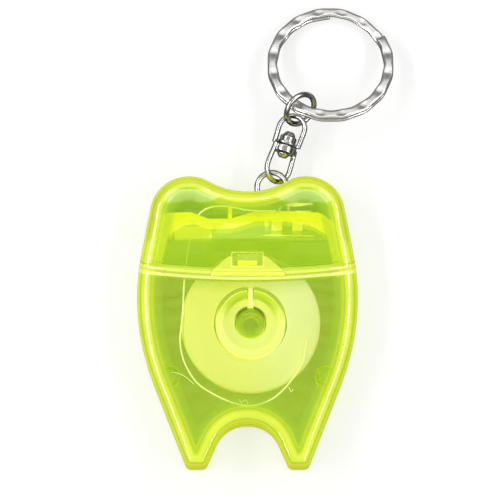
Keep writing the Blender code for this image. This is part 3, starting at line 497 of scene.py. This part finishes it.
# ---- frosted spool plastic, waxed floss, steel and bright nickel
clouds = {"detail": 3, "roughness": 0.6, "fade": (0.3, 0.75)}
weave = {"size": 0.35 * mm, "detail": 3, "roughness": 0.15, "ringSoft": 0.3}
plate = {
    "cloudSize": 3 * mm,
    "paintedSideShadeFade": (0.35, 0.8),
    "scratches": {"size": 0.5 * mm, "detail": 4, "roughness": 0.65, "stretch": (1, 1, 6)},
    "scratchRoughness": 0.08,
}


def cloudy(finish, look, size):
    cloud = finish.step(finish.noise(size, clouds["detail"], clouds["roughness"]), *clouds["fade"])
    return finish.blend(cloud, look["colour"], look["shade"])


def softPlastic(name, look):
    finish = Finish(name)
    colour = cloudy(finish, look, look["patch"])
    # colours are laid on in rings, fading in along x or y; on the spool they are paler towards the
    # bottom and painted shadows across the top of the hub
    if look.get("ringTonesAndPaintedShadows"):
        x, y = finish.split(finish.coords(inMm))[:2]
        place = {"x": x - look["centre"][0], "y": y - look["centre"][1]}
        radius = (place["x"] * place["x"] + place["y"] * place["y"]) ** 0.5
        for axis, low, high, inner, outer, tint, strength in look["ringTonesAndPaintedShadows"]:
            ring = finish.band(radius, inner, outer, weave["ringSoft"])
            colour = finish.blend(finish.step(place[axis], low, high) * ring * strength, colour, tint)
    fine = finish.noise(weave["size"], weave["detail"])
    skin = finish.add("ShaderNodeBsdfPrincipled", None, {
        "Base Color": colour,
        # painted glow: the plastic and floss emit their own colour, though they are no lamp
        "Emission Color": colour,
        "Emission Strength": look["paintedGlow"],
        "Roughness": look["roughness"] + fine * weave["roughness"],
        "Coat Weight": look["coat"],
        "Normal": finish.bump(fine, look["grain"])})
    return finish.done(skin)


def nickelPlate(name, look):
    finish = Finish(name)
    # painted dark reflection: the sides are painted darker than the tops, which gives the wires dark
    # outlines
    top = finish.step(finish.level(), *plate["paintedSideShadeFade"])
    colour = finish.blend(top, look["side"], cloudy(finish, look, plate["cloudSize"]))
    scratches = finish.noise(**plate["scratches"])
    dents = finish.noise(look["dentSize"], 1)
    skin = finish.add("ShaderNodeBsdfPrincipled", None, {
        "Base Color": colour,
        "Metallic": look["metallic"],
        "Roughness": look["roughness"] + scratches * plate["scratchRoughness"],
        # painted glow: the metal emits its own colour, though it is no lamp
        "Emission Color": colour,
        "Emission Strength": look["paintedGlow"],
        "Normal": finish.bump(dents + scratches * look["scratch"], look["dent"])})
    return finish.done(skin)


spoolCentre = (0.6, -0.3)
spoolPlastic = softPlastic("spoolPlastic", {
    "colour": (1.0, 1.0, 0.46),
    "shade": (0.95, 0.96, 0.34),
    "patch": 5 * mm,
    "paintedGlow": 0.32,
    "roughness": 0.25,
    "coat": 0.4,
    "grain": 0.01 * mm,
    "centre": spoolCentre,
    # axis, from, to, inner and outer radius, colour, strength
    "ringTonesAndPaintedShadows": [
        # paler towards the bottom
        ("y", 3.0, -3.0, -1, 20, (1.0, 1.0, 0.60), 0.9),
        # painted shadows: dark crescents across the top of the hub ring, round its upper edge and at the
        # top of the bore
        ("y", 0.0, 4.5, 4.7, 6.4, (0.56, 0.70, 0.03), 0.9),
        ("y", 0.5, 4.0, 6.3, 7.4, (0.36, 0.46, 0.01), 0.8),
        ("y", 0.0, 2.5, 2.6, 3.5, (0.10, 0.15, 0.01), 0.9)]})
waxed = {"roughness": 0.45, "coat": 0.1, "grain": 0.03 * mm}
flossRoll = softPlastic("flossRoll", {
    **waxed,
    "colour": (0.97, 0.94, 0.44),
    "shade": (0.95, 0.93, 0.38),
    "patch": 5 * mm,
    "paintedGlow": 0.16,
    "centre": spoolCentre,
    "ringTonesAndPaintedShadows": [
        # whiter towards +x, and paler towards the bottom
        ("x", -4.0, 9.0, -1, 20, (1.0, 0.99, 1.0), 0.9),
        ("y", 6.0, -9.0, 8.0, 14.5, (1.0, 1.0, 0.62), 0.5)]})
flossThread = softPlastic("flossThread", {
    **waxed,
    "colour": (1.0, 1.0, 0.80),
    "shade": (0.97, 0.99, 0.62),
    "patch": 4 * mm,
    "paintedGlow": 0.34})
bladeSteel = nickelPlate("bladeSteel", {
    "colour": (0.90, 0.92, 0.66),
    "shade": (0.70, 0.74, 0.46),
    "side": (0.6, 0.65, 0.3),
    "roughness": 0.22,
    "metallic": 0.6,
    "paintedGlow": 0.3,
    "scratch": 0.5,
    "dentSize": 2 * mm,
    "dent": 0.02 * mm})
nickel = nickelPlate("nickel", {
    "colour": (0.84, 0.83, 0.81),
    "shade": (0.70, 0.69, 0.66),
    "side": (0.06, 0.06, 0.055),
    "roughness": 0.14,
    "metallic": 1.0,
    "paintedGlow": 0.0,
    "scratch": 0.1,
    "dentSize": 1.6 * mm,
    "dent": 0.006 * mm})
hammeredNickel = nickelPlate("hammeredNickel", {
    "colour": (0.82, 0.81, 0.79),
    "shade": (0.66, 0.65, 0.62),
    "side": (0.02, 0.02, 0.018),
    "roughness": 0.11,
    "metallic": 1.0,
    "paintedGlow": 0.16,
    "scratch": 0.10,
    "dentSize": 1.9 * mm,
    "dent": 0.02 * mm})
print("materials ready")


# ---- case, lid and neck
shellEdge = 1.0 * mm
lidEdge = 0.8 * mm
neckSection = sectionTree("neck_insert", 8 * mm)
dressedCopy("rear_shell", "case", "lime_plastic", limeRear, shellEdge, tree=outlineTree)
dressedCopy("front_shell", "case", "lime_plastic", limeFront, shellEdge, tree=outlineTree)
dressedCopy("lid", "lid", "lime_plastic", limeLid, lidEdge, tree=outlineTree)
dressedCopy("neck_insert", "case", "lime_plastic", limeNeck, lidEdge, tree=neckSection)
dressedCopy("cutter", "case", "steel", bladeSteel)

# the cutter's leaf-shaped edge, a thin plate that slopes up from its fold
blade = {
    "edge": [
        (7.5, 23.75), (8.4, 24.2), (9.15, 24.42), (9.25, 23.95), (9.4, 24.42),
        (11.4, 24.12), (12.8, 24.4), (11.9, 23.85), (10.6, 23.6), (9.2, 23.55)],
    "low": 4.35,
    "thick": 0.22,
    "fold": 23.5,
    "slope": 0.5,
}
leaf = bmesh.new()
lower, upper = [], []
for x, y in blade["edge"]:
    height = blade["low"] + (y - blade["fold"]) * blade["slope"]
    lower.append(leaf.verts.new((x * mm, y * mm, height * mm)))
    upper.append(leaf.verts.new((x * mm, y * mm, (height + blade["thick"]) * mm)))
leaf.faces.new(list(reversed(lower)))
leaf.faces.new(upper)
for k in range(len(lower)):
    after = (k + 1) % len(lower)
    leaf.faces.new((lower[k], lower[after], upper[after], upper[k]))
bmesh.ops.recalc_face_normals(leaf, faces=leaf.faces)
placePiece(leaf, "cutterBlade", "case", bladeSteel)

dressedCopy("spool", "spool", "spool_plastic", spoolPlastic)
dressedCopy("floss_roll", "spool", "floss", flossRoll)
dressedCopy("floss_lead", "case", "floss", flossThread)
print("case dressed")

# loose floss, in mm
threads = {
    "slot": {
        "centre": spoolCentre, "start": 3.4, "end": 6.8, "low": 5.0, "high": 9.2,
        "layers": 6, "strands": (-1, 0, 1), "pitch": 0.297, "radius": 0.144},
    "radius": 0.07,
    "height": 8.95,
    "curveSteps": 8,
    "sides": 6,
    "loose": [
        [(-15.2, -10.2), (-13.8, -10.4), (-12.2, -11.2), (-10.6, -12.6)],
        [(-2.0, -16.4), (-0.6, -17.2), (0.9, -18.0), (2.2, -18.3)],
        [(8.2, -13.2), (8.7, -14.1), (9.0, -13.6)],
        [(-1.6, -15.6), (-1.2, -16.3), (-0.4, -15.7), (0.1, -16.4)],
    ],
}


def smoothCurve(spots):
    path = []
    last = len(spots) - 1
    for k in range(last):
        before, here, there, after = (spots[max(0, min(last, k + step))] for step in (-1, 0, 1, 2))
        for part in range(threads["curveSteps"]):
            t = part / threads["curveSteps"]
            square = 2 * before - 5 * here + 4 * there - after
            cube = 3 * here - before - 3 * there + after
            path.append(0.5 * (2 * here + (there - before) * t + square * t * t + cube * t ** 3))
    return path + [spots[-1]]


def threadTube(bm, route, radius):
    path = smoothCurve([Vector(spot) * mm for spot in route])
    sides = threads["sides"]
    turns = [2 * math.pi * corner / sides for corner in range(sides)]
    rings = []
    for k, spot in enumerate(path):
        ahead = (path[min(k + 1, len(path) - 1)] - path[max(k - 1, 0)]).normalized()
        side = ahead.cross(Vector((0, 0, 1))).normalized()
        lift = side.cross(ahead)
        arms = [(side * math.cos(turn) + lift * math.sin(turn)) * radius * mm for turn in turns]
        rings.append([bm.verts.new(spot + arm) for arm in arms])
    for near, far in zip(rings, rings[1:]):
        for corner in range(sides):
            after = (corner + 1) % sides
            bm.faces.new((near[corner], near[after], far[after], far[corner]))
    bm.faces.new(list(reversed(rings[0])))
    bm.faces.new(rings[-1])


loose = bmesh.new()
for route in threads["loose"]:
    threadTube(loose, [(x, y, threads["height"]) for x, y in route], threads["radius"])
bmesh.ops.recalc_face_normals(loose, faces=loose.faces)
placePiece(loose, "looseFibres", "case", flossThread)

# the floss end clamped in the hub's slot, strand beside strand
anchor = bmesh.new()
slot = threads["slot"]
reaches = (slot["start"], (slot["start"] + slot["end"]) / 2, slot["end"])
for layer in range(slot["layers"]):
    height = slot["low"] + (slot["high"] - slot["low"]) * layer / (slot["layers"] - 1)
    for strand in slot["strands"]:
        x = slot["centre"][0] + strand * slot["pitch"]
        ends = [(x, slot["centre"][1] + reach, height) for reach in reaches]
        threadTube(anchor, ends, slot["radius"])
bmesh.ops.recalc_face_normals(anchor, faces=anchor.faces)
placePiece(anchor, "slotFloss", "spool", flossThread)
print("threads laid")


# ---- chain
wireGrid = {"longest": 0.25 * mm, "smoothAngle": 62, "rounding": 2}
stripGrid = {"longest": 0.4 * mm, "smoothAngle": 50, "rounding": 3}
for node, body in (
        ("lower_jump_ring", "lower_ring"),
        ("swivel_lower_loop", "swivel_lower"),
        ("swivel_upper_loop", "swivel_upper"),
        ("swivel_rivet", "swivel_upper"),
        ("upper_jump_ring", "upper_ring")):
    dressedCopy(node, body, "nickel", nickel, **wireGrid)

splitRing = {
    "centre": Vector((16.7, 52.3, 5.13)) * mm,
    "tilt": math.radians(19),
    "middle": 11.7 * mm,
    "halfBand": 1.15 * mm,
    "dents": 16,
    "dentDepth": 0.20 * mm,
    "dentLength": 1.0 * mm,
    "flat": 0.6,
}


def hammer(bm):
    # ovals pressed into both faces of the strip, where its edges bulge
    ring = splitRing
    pitch = 2 * math.pi / ring["dents"]
    upright = Matrix.Rotation(ring["tilt"], 3, "X")
    for vert in bm.verts:
        spot = upright @ (vert.co - ring["centre"])
        angle = math.atan2(spot.y, spot.x)
        nearest = (round(angle / pitch - 0.5) + 0.5) * pitch
        along = (angle - nearest) * ring["middle"] / ring["dentLength"]
        across = (math.hypot(spot.x, spot.y) - ring["middle"]) / ring["halfBand"]
        deep = ring["dentDepth"] * math.exp(-along * along) * max(0, 1 - across * across)
        normal = upright @ vert.normal
        spot.z -= math.copysign(deep, normal.z) if abs(normal.z) > ring["flat"] else 0
        vert.co = upright.inverted() @ spot + ring["centre"]


dressedCopy("split_ring", "key_ring", "nickel", hammeredNickel, shape=hammer, **stripGrid)
print("chain dressed")


# ---- studio: pale floor, soft sky, three strip lights, long lens
studio = {
    "floorSize": 3.0,
    "floorColour": grey(0.45),
    "floorMirrored": (0.40, 0.40, 0.38),
    "floorFill": 0.62,
    "skyLight": 0.45,
    # the sky in mirrors, from the horizon to straight up
    "skyMirrored": [(0.0, 0.03), (0.35, 0.06), (0.58, 0.22), (0.72, 1.0), (0.86, 0.5), (1.0, 0.28)],
    # lean from upright and bearing in degrees, width and length in metres, power in watts
    "lights": [
        ("leftStrip", 35, -90, 0.6, 0.08, 1.2),
        ("rightStrip", 35, 90, 0.6, 0.08, 0.9),
        ("topBox", 33, 0, 0.46, 0.07, 0.3)],
    "lightDistance": 0.6,
    "target": Vector((0.5, 14.6, 6.0)) * mm,
    "elevation": 83,
    "distance": 0.8,
    "viewWidth": 100 * mm,
    "clip": (0.01, 10),
}


def placed(name, data, location=(0, 0, 0), turn=(0, 0, 0)):
    thing = bpy.data.objects.new(name, data)
    bpy.context.scene.collection.objects.link(thing)
    thing.location = location
    thing.rotation_euler = turn
    return thing


def floorFinish():
    finish = Finish("floorPaper")
    seen = finish.add("ShaderNodeLightPath", out="Is Camera Ray")
    mirrored = finish.add("ShaderNodeLightPath", out="Is Glossy Ray")
    paper = finish.add("ShaderNodeBsdfDiffuse", None, {"Color": studio["floorColour"]})
    dark = finish.add("ShaderNodeBsdfDiffuse", None, {"Color": studio["floorMirrored"]})
    skin = finish.add("ShaderNodeMixShader", None, {0: mirrored, 1: paper, 2: dark})
    values = {"Color": grey(1), "Strength": seen * studio["floorFill"]}
    fill = finish.add("ShaderNodeEmission", None, values)
    return finish.done(finish.add("ShaderNodeAddShader", None, {0: skin, 1: fill}))


bm = bmesh.new()
bmesh.ops.create_grid(bm, x_segments=1, y_segments=1, size=studio["floorSize"] / 2)
floorMesh = bpy.data.meshes.new("floor")
bm.to_mesh(floorMesh)
bm.free()
floorMesh.materials.append(floorFinish())
floor = placed("floor", floorMesh)

# white for the camera, a lit band for mirrors and an even light for the rest
world = bpy.data.worlds.new("studioSky")
bpy.context.scene.world = world
world.use_nodes = True
sky = Nodes(world.node_tree)
upward = sky.split(sky.add("ShaderNodeTexCoord", out="Generated"))[2]
shade = sky.ramp(upward, [(height, grey(value)) for height, value in studio["skyMirrored"]])
light = sky.blend(sky.add("ShaderNodeLightPath", out="Is Glossy Ray"), grey(studio["skyLight"]), shade)
backdrop = sky.blend(sky.add("ShaderNodeLightPath", out="Is Camera Ray"), light, grey(1))
sky.feed(world.node_tree.nodes["Background"].inputs["Color"], backdrop)

for name, lean, bearing, width, length, power in studio["lights"]:
    lean = math.radians(lean)
    spot = Vector((math.sin(lean), 0, math.cos(lean))) * studio["lightDistance"]
    spot.rotate(Matrix.Rotation(math.radians(90 - bearing), 3, "Z"))
    lamp = bpy.data.lights.new(name, "AREA")
    lamp.shape = "RECTANGLE"
    lamp.size = width
    lamp.size_y = length
    lamp.energy = power
    placed(name, lamp, spot, (studio["target"] - spot).to_track_quat("-Z", "Y").to_euler())

tilt = math.radians(90 - studio["elevation"])
lens = bpy.data.cameras.new("camera")
lens.lens = lens.sensor_width * studio["distance"] / studio["viewWidth"]
lens.clip_start, lens.clip_end = studio["clip"]
away = Vector((0, -math.sin(tilt), math.cos(tilt))) * studio["distance"]
camera = placed("camera", lens, studio["target"] + away, (tilt, 0, 0))
bpy.context.scene.camera = camera
bpy.context.scene.view_settings.view_transform = "Standard"
bpy.context.scene.cycles.transparent_max_bounces = 32
print("studio ready")
